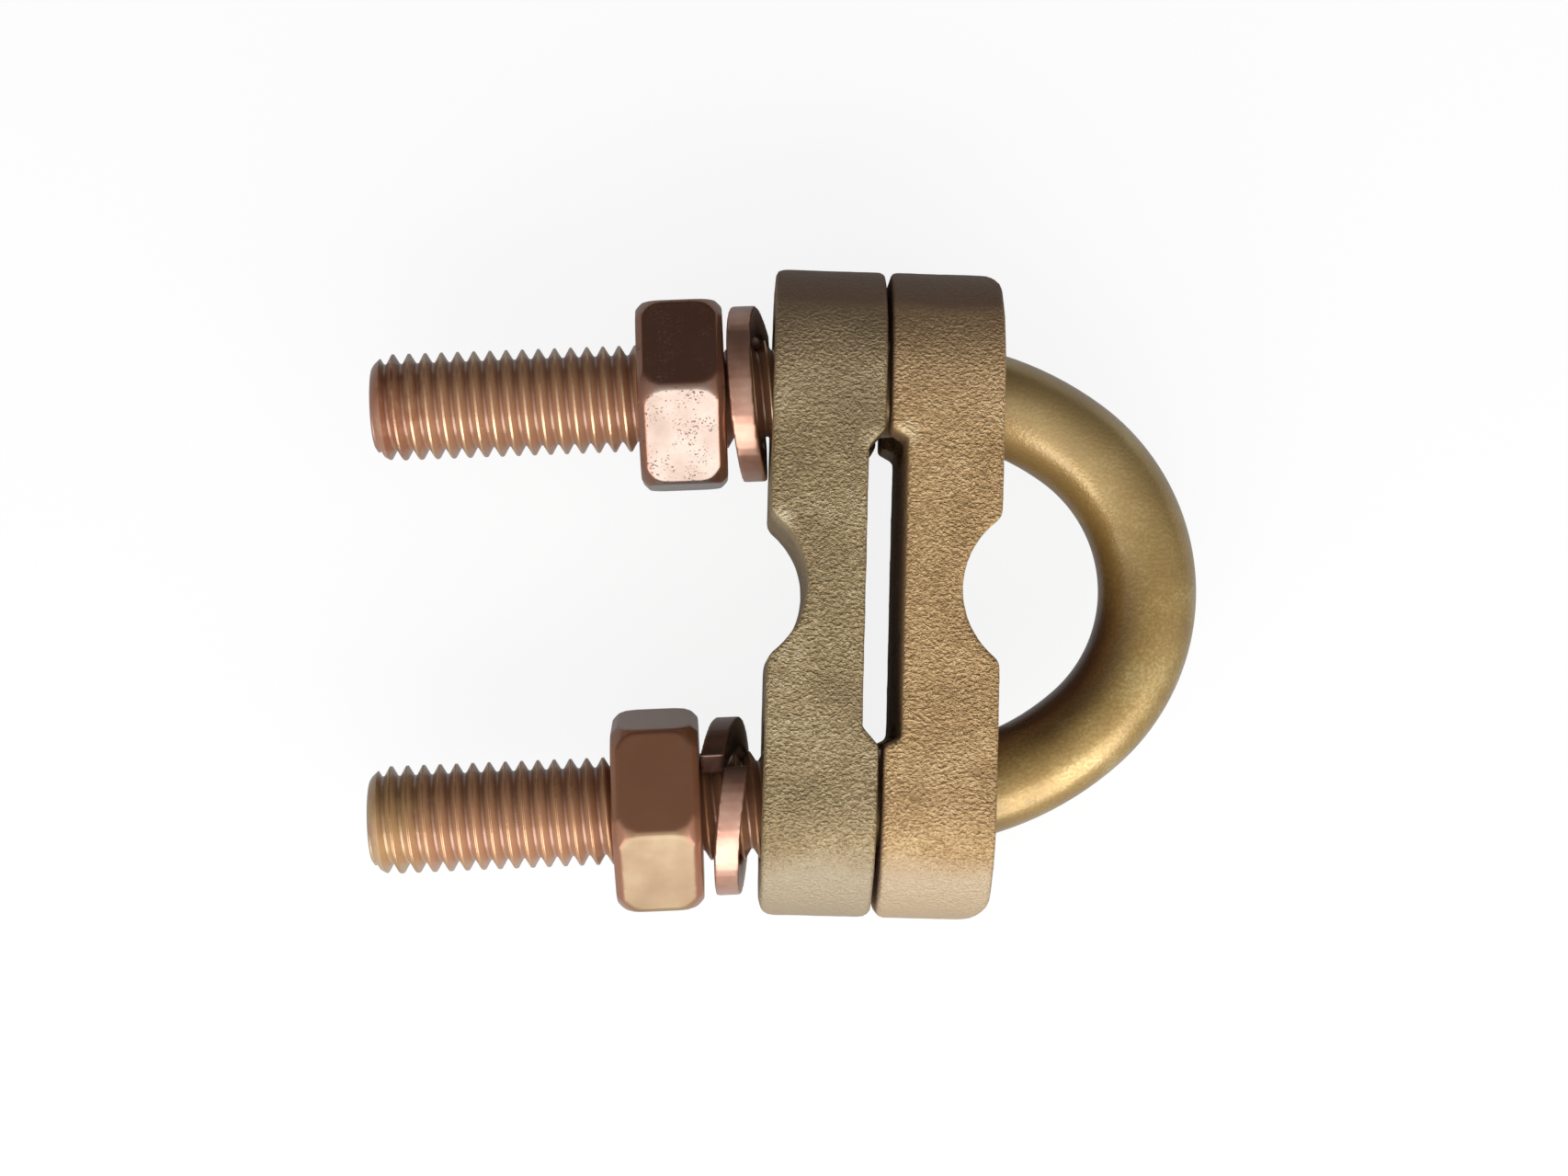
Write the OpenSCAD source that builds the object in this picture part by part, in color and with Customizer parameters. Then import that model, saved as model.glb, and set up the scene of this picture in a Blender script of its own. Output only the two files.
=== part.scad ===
// U-bolt ground clamp: two cast bronze plates on a U-bolt, which grip an earth rod in the bow
// and an earth conductor in the slot between the plates. It lies on the plates' lower faces.
// The origin is the middle of the conductor slot, at the level of those faces. The earth rod
// stands along Z, the bow is towards +X and the nuts are towards -X. Left is +Y, right is -Y.

/* [U-bolt] */
// Diameter of the plain rod
rod_d = 9.1; // [6:0.1:14]
// Outside diameter of the screw thread
thread_d = 9.9; // [6:0.1:14]
// Length of thread on each leg
thread_len = 42; // [32:0.5:46]
// Pitch of the right-hand thread
thread_pitch = 1.5; // [1:0.05:2.5]
// Depth of the thread
thread_depth = 0.92; // [0.4:0.02:1.4]
// Distance between the legs, centre to centre
leg_spacing = 38.2; // [32:0.1:60]
// Straight length of the left leg, from the start of the bow to the tip
left_leg_len = 48.3; // [47:0.1:70]
// Straight length of the right leg
right_leg_len = 49.7; // [49:0.1:70]
// How much the radius of the bow's middle arc is less than half the leg spacing
bow_pinch = 2.1; // [0.5:0.1:5]
// Distance from the start of the bow to the centre of its middle arc
bow_stretch = 5.95; // [2:0.05:10]
// Clear distance from the bow-side plate's outer face to the inside of the bow
bow_clear = 10.2; // [8:0.1:30]
// Chamfer on each leg's tip, inside the roots of the thread
tip_chamfer = 0.2; // [0.1:0.05:1]

/* [Plates] */
// Thickness of each plate, along the legs
plate_t = 10.2; // [8:0.1:14]
// Depth of each plate, along the earth rod
plate_depth = 22; // [20:0.5:36]
// Reach of each plate past the centre of a leg
plate_end = 10.9; // [9:0.1:18]
// Gap between the two plates
plate_gap = 0.4; // [0.2:0.1:1.5]
// Lean of the loosely held plates, in degrees: their left ends lie nearer the bow
plate_lean = 3.9; // [0:0.1:4.5]
// Room around a leg in its hole
hole_clear = 1.55; // [1.3:0.05:2]
// How much closer together the holes are than the legs, because the legs turn in to the bow
hole_inset = 0.6; // [0:0.1:1]
// Radius of the edges all round a plate's outer and inner faces
plate_edge_r = 0.4; // [0.2:0.1:1.2]
// Radius of the nut-side plate's outer corners, seen along the earth rod
nut_side_corner_r = 1.5; // [0.5:0.1:3]
// Radius of the bow-side plate's outer corners
bow_side_corner_r = 2.5; // [0.5:0.1:3]
// Radius of both plates' inner corners
inner_corner_r = 1.1; // [0.3:0.1:2]

/* [Rod notch and conductor slot] */
// Radius of the notch for the earth rod
notch_r = 7.65; // [6:0.05:10]
// Depth of that notch
notch_depth = 3.45; // [2:0.05:4.5]
// Radius that blends the notch into the plate's outer face
notch_blend_r = 1.6; // [0.5:0.1:3]
// Depth of the slot in each plate
slot_depth = 1.5; // [0.8:0.1:2.5]
// Length of the slot at the inner face
slot_len = 28.4; // [20:0.1:32]
// Length of the sloped ends of the nut-side plate's slot
nut_side_slope = 1.65; // [0.2:0.05:3]
// Length of the sloped ends of the bow-side plate's slot
bow_side_slope = 0.75; // [0.2:0.05:3]

/* [Nuts] */
// Width of a nut across its flats
nut_af = 17; // [15:0.1:18.5]
// Height of a nut
nut_h = 8; // [5:0.1:10]
// Diameter of the round face that the chamfer leaves at each end of a nut
nut_face_d = 14; // [12.5:0.1:17]
// Angle of that chamfer to the face
nut_chamfer_deg = 33; // [15:1:45]
// Room between a nut's bore and the thread's crests
nut_clear = 0.1; // [0.05:0.01:0.3]
// Turn of the left nut, in degrees
left_nut_turn = 2.3; // [-30:0.1:30]
// Turn of the right nut, in degrees
right_nut_turn = 12.4; // [-30:0.1:30]

/* [Spring washers] */
// Thickness of the wire, along the leg
washer_t = 2.2; // [1:0.1:3]
// Width of the wire, across the leg
washer_w = 2.9; // [1.5:0.1:4]
// Room between a washer and the thread
washer_clear = 0.35; // [0.2:0.05:1]
// Offset of the split ends along the leg
washer_lead = 2.4; // [1:0.1:3]
// Angle of the gap between the split ends
washer_split_deg = 8; // [4:1:20]
// Place of the left washer's split around the leg, from +Z towards +Y
left_split_at = 135; // [0:1:359]
// Place of the right washer's split
right_split_at = 31; // [0:1:359]
// Lean of the upper side of both washers towards the nuts, in degrees
washer_lean = 8.5; // [0:0.5:10]
// Lean of the left washer's left side towards the bow, in degrees
left_washer_turn = -5.9; // [-10:0.1:10]
// Lean of the right washer's left side towards the bow, in degrees
right_washer_turn = 7.1; // [-10:0.1:10]
// Free play between the right washer and the plate
right_washer_play = 0.75; // [0:0.05:0.9]
// Gap left between a washer and what it lies against
washer_seat = 0.1; // [0.05:0.01:0.3]

/* [Hidden] */
$fn = 96;

BOW_BRONZE = "#B0904F";
CAST_BRONZE = "#9C8558";
WARM_CAST_BRONZE = "#AA8654";
COPPER_BRONZE = "#B9805F";

// How far a cut runs past the face that it opens
over = 1;
leg_y = leg_spacing / 2;
leg_z = plate_depth / 2;
rod_r = rod_d / 2;
thread_r = thread_d / 2;

// The bow: a side arc at each leg, tangent to the leg and to the middle arc
bow_r = leg_y - bow_pinch;
side_r = (pow(bow_stretch, 2) + bow_pinch * (leg_y + bow_r)) / (2 * bow_pinch);
side_deg = atan2(bow_stretch, side_r - leg_y);
bow_x = plate_gap / 2 + plate_t + bow_clear + rod_r - bow_r - bow_stretch;
BOW_STEPS = 40;
// Sides of the rod's outline, which are also the steps in one turn of the thread
ROD_SIDES = 24;

// One pitch of the thread: places along it and heights above the root, as shares of pitch and depth
THREAD_SECTION = [[0, 0], [0.43, 1], [0.57, 1]];
SECTION_POINTS = len(THREAD_SECTION);
// Steps in which the thread rises to its full height at the tip, and dies out at the plain rod
FADE_STEPS = 6;
root_r = thread_r - thread_depth;
// Steps from the tip's end face to where the thread starts and ends
first_step = ceil((tip_chamfer / thread_pitch + 0.05) * ROD_SIDES);
last_step = floor((thread_len / thread_pitch - 1) * ROD_SIDES);

plate_straight = leg_spacing + 2 * plate_end - plate_depth;
hole_d = max(thread_d, rod_d) + 2 * hole_clear;
hole_y = (leg_spacing - hole_inset) / 2;
BLEND_STEPS = 8;
NOTCH_STEPS = 32;

nut_ac = nut_af / cos(30);
nut_bore_r = thread_r + nut_clear;
washer_in_r = thread_r + washer_clear;
washer_out_r = washer_in_r + washer_w;
washer_mid_r = (washer_in_r + washer_out_r) / 2;
WASHER_STEPS = 60;

// Place along the leg of the nut-side plate's outer face, at a point this far to the left
function nut_side_face(y) = -(plate_gap / 2 + plate_t) / cos(plate_lean) + y * tan(plate_lean);

// Angles around the leg at which a washer's section is drawn, from one split end to the other
function washer_angles(split_at) = [
    for (i = [0 : WASHER_STEPS])
        split_at + washer_split_deg / 2 + i * (360 - washer_split_deg) / WASHER_STEPS];

// Offset of a washer's wire along the leg: its coil, then its lean upwards and to the left
function washer_offset(a, split_at, turn) =
    washer_lead * ((a - split_at) / 360 - 0.5)
    - washer_mid_r * tan(washer_lean) * cos(a)
    + washer_mid_r * tan(turn) * sin(a);

// How far a washer's wire comes towards the leaning plate, and towards the nut
function washer_to_plate(split_at, turn) = max([
    for (a = washer_angles(split_at), r = [washer_in_r, washer_out_r])
        washer_offset(a, split_at, turn) - tan(plate_lean) * r * sin(a)]);
function washer_to_nut(split_at, turn) = min([
    for (a = washer_angles(split_at)) washer_offset(a, split_at, turn)]);

// Middle of each washer along its leg, and the nuts' faces that press on them
left_washer_x = nut_side_face(leg_y) - washer_seat - washer_t / 2
    - washer_to_plate(left_split_at, left_washer_turn);
right_washer_x = nut_side_face(-leg_y) - washer_seat - right_washer_play - washer_t / 2
    - washer_to_plate(right_split_at, right_washer_turn);
left_nut_x = left_washer_x + washer_to_nut(left_split_at, left_washer_turn)
    - washer_t / 2 - washer_seat;
right_nut_x = right_washer_x + washer_to_nut(right_split_at, right_washer_turn)
    - washer_t / 2 - washer_seat;

// A point on a leg: its distance from the tip, its step around the leg from +Z towards -Y, its radius
function leg_point(side, length, along, step, r) =
    let (a = step * 360 / ROD_SIDES)
    [bow_x - length + along, side * leg_y - r * sin(a), leg_z + r * cos(a)];

// Radius of the thread at one step of its turns and one point of its section
function thread_radius(step, k) =
    let (
        rise = min(1, (step - first_step) / FADE_STEPS),
        fall = max(0, min(1, (last_step - step) / FADE_STEPS)),
        r = root_r + thread_depth * THREAD_SECTION[k][1] * rise)
    rod_r + (r - rod_r) * fall;

// One point of the thread's section, carried along the screw line from step to step
function thread_line(side, length, k, end_step) = [
    for (step = [first_step : end_step])
        let (along = thread_pitch * (step / ROD_SIDES + THREAD_SECTION[k][0]))
        leg_point(side, length, along, step, thread_radius(step, k))];

// All points of a leg: two rings at the tip, then the lines of the thread. The line of the roots runs
// one turn further than the others, because it also bounds the last turn.
function leg_points(side, length) = concat(
    [for (step = [0 : ROD_SIDES - 1]) leg_point(side, length, 0, step, root_r - tip_chamfer)],
    [for (step = [0 : ROD_SIDES - 1]) leg_point(side, length, tip_chamfer, step, root_r)],
    thread_line(side, length, 0, last_step + ROD_SIDES),
    [for (k = [1 : SECTION_POINTS - 1]) each thread_line(side, length, k, last_step)]);

// Place in the leg's list of a point on its second ring, and of a point of the thread
function ring_at(step) = ROD_SIDES + step % ROD_SIDES;
function thread_at(step, k) =
    k == SECTION_POINTS ? thread_at(step + ROD_SIDES, 0) :
    2 * ROD_SIDES + step - first_step
        + (k == 0 ? 0 : ROD_SIDES + k * (last_step - first_step + 1));

// Triangles from one point to each side of a row of points
function fan(apex, row) = [for (i = [0 : len(row) - 2]) [apex, row[i], row[i + 1]]];

// Faces of a leg's tip and thread, with the leg's points from this place on in the U-bolt's list
function leg_faces(from) =
    let (
        lead_in_end = first_step + ROD_SIDES - 1,
        tip = [[for (i = [0 : ROD_SIDES - 1]) i]],
        chamfer = [
            for (i = [0 : ROD_SIDES - 1]) [ring_at(i), ring_at(i + 1), (i + 1) % ROD_SIDES, i]],
        lead_in = [
            for (i = [first_step : lead_in_end - 1])
                [thread_at(i, 0), thread_at(i + 1, 0), ring_at(i + 1), ring_at(i)]],
        start = fan(ring_at(lead_in_end), concat(
            [thread_at(lead_in_end, 0)],
            [for (k = [SECTION_POINTS : -1 : 0]) thread_at(first_step, k)],
            [ring_at(first_step)])),
        turns = [
            for (i = [first_step : last_step - 1], k = [0 : SECTION_POINTS - 1])
                [thread_at(i, k + 1), thread_at(i + 1, k + 1), thread_at(i + 1, k), thread_at(i, k)]])
    [for (face = concat(tip, chamfer, lead_in, start, turns)) [for (i = face) from + i]];

// Faces of the plain rod, from the end of a leg's thread to the ring of the bow that starts at a place.
// That ring counts from the outer side towards +Z, so the right leg's steps run against it.
function ring_step(side, step) = (ROD_SIDES * 5 / 4 + side * (step % ROD_SIDES)) % ROD_SIDES;
function rod_faces(side, from, ring) = concat(
    fan(from + thread_at(last_step + 1, 0), concat(
        [for (k = [0 : SECTION_POINTS]) from + thread_at(last_step, k)],
        [for (i = [last_step, last_step + 1]) ring + ring_step(side, i)])),
    [for (i = [last_step + 1 : last_step + ROD_SIDES - 1])
        [ring + ring_step(side, i), ring + ring_step(side, i + 1),
         from + thread_at(i + 1, 0), from + thread_at(i, 0)]]);

// Points around the bow: rings of the rod's outline, square to the bow's centre line. A ring's angle
// is the bow's turn up to it, on the left side arc, the middle arc or the right side arc.
function bow_centre(a) =
    a < side_deg ? [bow_x, leg_y - side_r] :
    a > 180 - side_deg ? [bow_x, side_r - leg_y] : [bow_x + bow_stretch, 0];
function bow_arc_r(a) = a < side_deg || a > 180 - side_deg ? side_r : bow_r;
function bow_ring(a) = [
    for (k = [0 : ROD_SIDES - 1])
        let (
            around = k * 360 / ROD_SIDES,
            reach = bow_arc_r(a) + rod_r * cos(around))
        [bow_centre(a)[0] + reach * sin(a), bow_centre(a)[1] + reach * cos(a), leg_z + rod_r * sin(around)]];

// The U-bolt in one skin: the left leg, the bow from left to right, and the right leg
module u_bolt() {
    bow_points = [for (i = [0 : BOW_STEPS]) each bow_ring(i * 180 / BOW_STEPS)];
    left_points = leg_points(1, left_leg_len);
    right_points = leg_points(-1, right_leg_len);
    bow_from = len(left_points);
    right_from = bow_from + len(bow_points);
    bow_faces = [
        for (i = [0 : BOW_STEPS - 1], k = [0 : ROD_SIDES - 1])
            let (row = bow_from + i * ROD_SIDES, next = (k + 1) % ROD_SIDES)
            [row + ROD_SIDES + k, row + ROD_SIDES + next, row + next, row + k]];
    color(BOW_BRONZE)
        polyhedron(
            points = concat(left_points, bow_points, right_points),
            faces = concat(
                leg_faces(0),
                rod_faces(1, 0, bow_from),
                bow_faces,
                rod_faces(-1, right_from, right_from - ROD_SIDES),
                leg_faces(right_from)));
}

// Half of a plate's section: its half depth along x, its thickness from the inner face along y
module half_section() {
    half = plate_depth / 2;
    square([half - plate_edge_r, plate_t]);
    translate([0, plate_edge_r])
        square([half, plate_t - 2 * plate_edge_r]);
    for (edge = [plate_edge_r, plate_t - plate_edge_r])
        translate([half - plate_edge_r, edge]) circle(r = plate_edge_r);
}

// A plate's outline seen along the earth rod, with its four corners rounded
module corner_outline(outer_corner_r) {
    half = leg_spacing / 2 + plate_end;
    translate([inner_corner_r, -half])
        square([plate_t - inner_corner_r - outer_corner_r, 2 * half]);
    translate([0, inner_corner_r - half])
        square([plate_t / 2, 2 * (half - inner_corner_r)]);
    translate([plate_t / 2, outer_corner_r - half])
        square([plate_t / 2, 2 * (half - outer_corner_r)]);
    for (side = [-1, 1]) {
        translate([inner_corner_r, side * (half - inner_corner_r)]) circle(r = inner_corner_r);
        translate([plate_t - outer_corner_r, side * (half - outer_corner_r)]) circle(r = outer_corner_r);
    }
}

// A plate before its cuts: a bar with full round ends, rounded edges and rounded corners
module plate_blank(outer_corner_r) {
    intersection() {
        union() {
            rotate([0, -90, -90])
                linear_extrude(height = plate_straight, center = true) {
                    half_section();
                    mirror([1, 0]) half_section();
                }
            for (side = [0, 1])
                mirror([0, side, 0])
                    translate([0, plate_straight / 2, 0])
                        rotate([0, 90, 0])
                            rotate_extrude(angle = 180) half_section();
        }
        translate([0, 0, -plate_depth / 2 - over])
            linear_extrude(height = plate_depth + 2 * over)
                corner_outline(outer_corner_r);
    }
}

// Points along an arc, from one angle to another
function arc_points(centre, r, from_deg, to_deg, steps) = [
    for (i = [0 : steps])
        let (a = from_deg + i * (to_deg - from_deg) / steps)
        centre + r * [cos(a), sin(a)]];

// The notch for the earth rod, with both sides of its mouth blended into the outer face
module notch_outline() {
    rise = notch_r - notch_depth;
    reach = notch_r + notch_blend_r;
    blend_y = sqrt(pow(reach, 2) - pow(rise + notch_blend_r, 2));
    blend_x = plate_t - notch_blend_r;
    blend_deg = atan2(blend_y, rise + notch_blend_r);
    polygon(concat(
        [[plate_t + over, -blend_y]],
        arc_points([blend_x, -blend_y], notch_blend_r, 0, blend_deg, BLEND_STEPS),
        arc_points([plate_t + rise, 0], notch_r, 180 + blend_deg, 180 - blend_deg, NOTCH_STEPS),
        arc_points([blend_x, blend_y], notch_blend_r, -blend_deg, 0, BLEND_STEPS),
        [[plate_t + over, blend_y]]));
}

// One plate, with its inner face at x = 0 and its outer face towards +X
module plate(outer_corner_r, slope) {
    difference() {
        plate_blank(outer_corner_r);
        translate([0, 0, -plate_depth / 2 - over])
            linear_extrude(height = plate_depth + 2 * over) {
                notch_outline();
                polygon([
                    [-over, -slot_len / 2],
                    [0, -slot_len / 2],
                    [slot_depth, slope - slot_len / 2],
                    [slot_depth, slot_len / 2 - slope],
                    [0, slot_len / 2],
                    [-over, slot_len / 2]]);
            }
        for (side = [-1, 1])
            translate([-over, side * hole_y, 0])
                rotate([0, 90, 0])
                    cylinder(d = hole_d, h = plate_t + 2 * over);
    }
}

// Puts a plate on the legs, with the lean that both plates share
module on_the_legs() {
    translate([0, 0, leg_z])
        rotate([0, 0, -plate_lean])
            children();
}

module bow_side_plate() {
    color(WARM_CAST_BRONZE)
        on_the_legs()
            translate([plate_gap / 2, 0, 0])
                plate(bow_side_corner_r, bow_side_slope);
}

module nut_side_plate() {
    color(CAST_BRONZE)
        on_the_legs()
            mirror([1, 0, 0])
                translate([plate_gap / 2, 0, 0])
                    plate(nut_side_corner_r, nut_side_slope);
}

// A split ring of square wire, swept around the leg
module spring_washer(split_at, turn) {
    angles = washer_angles(split_at);
    corners = [[washer_in_r, -1], [washer_out_r, -1], [washer_out_r, 1], [washer_in_r, 1]];
    points = [
        for (a = angles, c = corners)
            [washer_offset(a, split_at, turn) + c[1] * washer_t / 2, c[0] * sin(a), c[0] * cos(a)]];
    sides = [
        for (i = [0 : WASHER_STEPS - 1], k = [0 : 3])
            [4 * i + k, 4 * i + 4 + k, 4 * i + 4 + (k + 1) % 4, 4 * i + (k + 1) % 4]];
    last = 4 * WASHER_STEPS;
    ends = [[0, 1, 2, 3], [last + 3, last + 2, last + 1, last]];
    polyhedron(points = points, faces = concat(sides, ends));
}

module left_spring_washer() {
    color(COPPER_BRONZE)
        translate([left_washer_x, leg_y, leg_z])
            spring_washer(left_split_at, left_washer_turn);
}

module right_spring_washer() {
    color(COPPER_BRONZE)
        translate([right_washer_x, -leg_y, leg_z])
            spring_washer(right_split_at, right_washer_turn);
}

// A hexagon nut that lies on -X, with its pressing face at x = 0 and both faces chamfered
module nut(turn) {
    chamfer_h = (nut_ac - nut_face_d) / 2 * tan(nut_chamfer_deg);
    sink = nut_clear + thread_r / 10;
    rotate([turn, 0, 0])
        rotate([0, -90, 0])
            difference() {
                intersection() {
                    cylinder(d = nut_ac, h = nut_h, $fn = 6);
                    rotate_extrude()
                        polygon([
                            [0, 0],
                            [nut_face_d / 2, 0],
                            [nut_ac / 2, chamfer_h],
                            [nut_ac / 2, nut_h - chamfer_h],
                            [nut_face_d / 2, nut_h],
                            [0, nut_h]]);
                }
                translate([0, 0, -over])
                    cylinder(r = nut_bore_r, h = nut_h + 2 * over);
                for (end = [0, 1])
                    translate([0, 0, end * nut_h])
                        mirror([0, 0, end])
                            cylinder(r1 = nut_bore_r + sink, r2 = nut_bore_r, h = sink);
            }
}

module left_nut() {
    color(COPPER_BRONZE)
        translate([left_nut_x, leg_y, leg_z])
            nut(left_nut_turn);
}

module right_nut() {
    color(COPPER_BRONZE)
        translate([right_nut_x, -leg_y, leg_z])
            nut(right_nut_turn);
}

u_bolt();
bow_side_plate();
nut_side_plate();
left_spring_washer();
right_spring_washer();
left_nut();
right_nut();
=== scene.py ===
import math

import bmesh
import bpy
from mathutils import Matrix, Vector


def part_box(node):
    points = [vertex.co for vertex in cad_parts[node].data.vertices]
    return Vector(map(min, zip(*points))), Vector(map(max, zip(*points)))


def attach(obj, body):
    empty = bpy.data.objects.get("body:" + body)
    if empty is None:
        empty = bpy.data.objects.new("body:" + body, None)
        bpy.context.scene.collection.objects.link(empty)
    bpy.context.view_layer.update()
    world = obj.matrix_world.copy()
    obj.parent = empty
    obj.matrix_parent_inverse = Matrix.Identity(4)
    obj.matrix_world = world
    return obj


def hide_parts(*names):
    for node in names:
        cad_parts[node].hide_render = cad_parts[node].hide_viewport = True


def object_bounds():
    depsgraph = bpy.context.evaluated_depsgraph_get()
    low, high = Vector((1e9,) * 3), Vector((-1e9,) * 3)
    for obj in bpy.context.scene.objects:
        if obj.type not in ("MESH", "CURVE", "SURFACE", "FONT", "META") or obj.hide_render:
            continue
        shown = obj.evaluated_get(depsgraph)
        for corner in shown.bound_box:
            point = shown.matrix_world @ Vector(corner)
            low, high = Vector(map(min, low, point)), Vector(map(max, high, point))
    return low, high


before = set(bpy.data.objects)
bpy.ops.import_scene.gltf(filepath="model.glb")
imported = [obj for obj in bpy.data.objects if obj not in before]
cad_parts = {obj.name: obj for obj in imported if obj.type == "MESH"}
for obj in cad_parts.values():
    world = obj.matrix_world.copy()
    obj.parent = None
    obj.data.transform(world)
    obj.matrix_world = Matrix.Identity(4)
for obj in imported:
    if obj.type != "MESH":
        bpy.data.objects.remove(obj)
cad_low, cad_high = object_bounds()


# The U-bolt: a drawn bronze bar, thread-rolled at both ends and bent cold round a former.
# The bow keeps the bar's satin golden skin. The threads are pinkish, where rolling bared fresh metal.
# Both legs carry a right-hand M10 thread, cut back to a chamfer at the tip.

MM = 0.001
merge_gap = 0.002 * MM
bolt_low, bolt_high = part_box("u_bolt")
thread_r = (bolt_high.z - bolt_low.z) / 2
rod_r = 4.55 * MM
leg_y = bolt_high.y - thread_r
leg_z = (bolt_low.z + bolt_high.z) / 2
leg_difference = 1.4 * MM
right_tip_x = bolt_low.x
left_tip_x = right_tip_x + leg_difference

thread_pitch = 1.5 * MM
thread_depth = 0.92 * MM
thread_length = 42 * MM
thread_steps = 48
root_ease = 0.03 * MM
root_fillet = 0.14 * MM
crest_fillet = 0.17 * MM
crest_ease = 0.02 * MM
# Rolling left a shallow groove along the right leg's crests
right_crest_dip = 0.06 * MM
# The tip's chamfer, as depths from the tip and how far the radius is cut back there
tip_chamfer = [
    (0.0, 1.2 * MM), (0.2 * MM, 0.9 * MM), (0.7 * MM, 0.45 * MM), (1.2 * MM, 0.16 * MM), (1.8 * MM, 0.0)]
blank_room = 0.05 * MM

# The bow is a middle arc between two flatter side arcs, each tangent to its leg
bow_pinch = 2.1 * MM
bow_stretch = 5.95 * MM
bow_r = leg_y - bow_pinch
bow_centre_x = bolt_high.x - rod_r - bow_r
bow_x = bow_centre_x - bow_stretch
side_r = (bow_stretch ** 2 + (leg_y - bow_r) * (leg_y + bow_r)) / (2 * (leg_y - bow_r))
side_angle = math.atan2(bow_stretch, side_r - leg_y)
side_steps = 16
middle_steps = 44


def start_piece(add_primitive, name, **settings):
    """Adds a primitive with nothing else selected, names it and opens it in edit mode."""
    bpy.ops.object.select_all(action="DESELECT")
    add_primitive(**settings)
    piece = bpy.context.object
    piece.name = name
    piece.data.name = name
    bpy.ops.object.mode_set(mode="EDIT")
    return piece


def close_piece(piece):
    """Leaves edit mode and puts the piece's place in its mesh."""
    bpy.ops.object.mode_set(mode="OBJECT")
    bpy.ops.object.select_all(action="DESELECT")
    piece.select_set(True)
    bpy.context.view_layer.objects.active = piece
    bpy.ops.object.transform_apply(location=True, rotation=True, scale=True)


def work(piece, kind, **settings):
    """Adds one modifier to a piece and applies it."""
    bpy.context.view_layer.objects.active = piece
    modifier = piece.modifiers.new(kind, kind)
    for key, value in settings.items():
        setattr(modifier, key, value)
    bpy.ops.object.modifier_apply(modifier=modifier.name)


def combine(piece, other, operation):
    """Joins, cuts or trims a piece with another solid, which is used up."""
    work(piece, "BOOLEAN", operation=operation, object=other, solver="EXACT")
    bpy.data.objects.remove(other)


def screw_solid(name, side_y, tip_x, first_x, last_x, room=0.0, crest_dip=0.0):
    """A right-hand screw in step with the leg's own thread, cut square at both ends."""
    crest = thread_r + room
    root = crest - thread_depth
    # One turn's outline, as shares of the pitch and the radius there
    outline = [
        (0.0, root), (0.075, root + root_ease), (0.13, root + root_fillet),
        (0.37, crest - crest_fillet), (0.43, crest - crest_ease), (0.465, crest),
        (0.5, crest - crest_dip),
        (0.535, crest), (0.57, crest - crest_ease), (0.63, crest - crest_fillet),
        (0.87, root + root_fillet), (0.925, root + root_ease), (1.0, root)]
    start_x = tip_x + thread_pitch * (math.floor((first_x - tip_x) / thread_pitch) - 1)
    turns = math.ceil((last_x - start_x) / thread_pitch) + 1
    screw = start_piece(bpy.ops.mesh.primitive_plane_add, name, location=(start_x, side_y, leg_z))
    bpy.ops.mesh.merge(type="CENTER")
    bpy.ops.transform.translate(value=(0, 0, root))
    for (along, r), (next_along, next_r) in zip(outline, outline[1:]):
        step = (thread_pitch * (next_along - along), 0, next_r - r)
        bpy.ops.mesh.extrude_vertices_move(TRANSFORM_OT_translate={"value": step})
    bpy.ops.object.mode_set(mode="OBJECT")
    work(screw, "SCREW", axis="X", screw_offset=thread_pitch, iterations=turns,
         steps=thread_steps, render_steps=thread_steps, use_merge_vertices=True)
    bpy.ops.object.mode_set(mode="EDIT")
    bpy.ops.mesh.select_all(action="SELECT")
    bpy.ops.mesh.remove_doubles(threshold=merge_gap)
    for cut_x, outwards in ((first_x, -1), (last_x, 1)):
        bpy.ops.mesh.select_all(action="SELECT")
        bpy.ops.mesh.bisect(plane_co=(cut_x, side_y, leg_z), plane_no=(outwards, 0, 0),
                            use_fill=True, clear_outer=True)
    bpy.ops.mesh.select_all(action="SELECT")
    bpy.ops.mesh.normals_make_consistent(inside=False)
    close_piece(screw)
    return screw


def turned_bar(name, side_y, outline):
    """A solid turned about a leg's axis, from pairs of a place along the leg and a radius there."""
    first_x, first_r = outline[0]
    bar = start_piece(bpy.ops.mesh.primitive_circle_add, name, vertices=96, radius=first_r,
                      fill_type="NGON", location=(first_x, side_y, leg_z), rotation=(0, math.pi / 2, 0))
    bpy.ops.mesh.select_all(action="SELECT")
    for (x, r), (next_x, next_r) in zip(outline, outline[1:]):
        bpy.ops.mesh.extrude_region_move(TRANSFORM_OT_translate={"value": (next_x - x, 0, 0)})
        bpy.ops.transform.resize(value=(1, next_r / r, next_r / r))
    bpy.ops.mesh.select_all(action="SELECT")
    bpy.ops.mesh.normals_make_consistent(inside=False)
    close_piece(bar)
    return bar


def threaded_leg(name, side_y, tip_x, crest_dip):
    """One leg's thread, a pitch too long at both ends and trimmed by a blank with a chamfered tip."""
    end_x = tip_x + thread_length
    blank_r = thread_r + blank_room
    leg = screw_solid(name, side_y, tip_x, tip_x - thread_pitch, end_x + thread_pitch, crest_dip=crest_dip)
    outline = [(tip_x + depth, blank_r - cut) for depth, cut in tip_chamfer]
    blank = turned_bar("tip_blank", side_y, outline + [(end_x, blank_r)])
    combine(leg, blank, "INTERSECT")
    return leg


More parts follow.
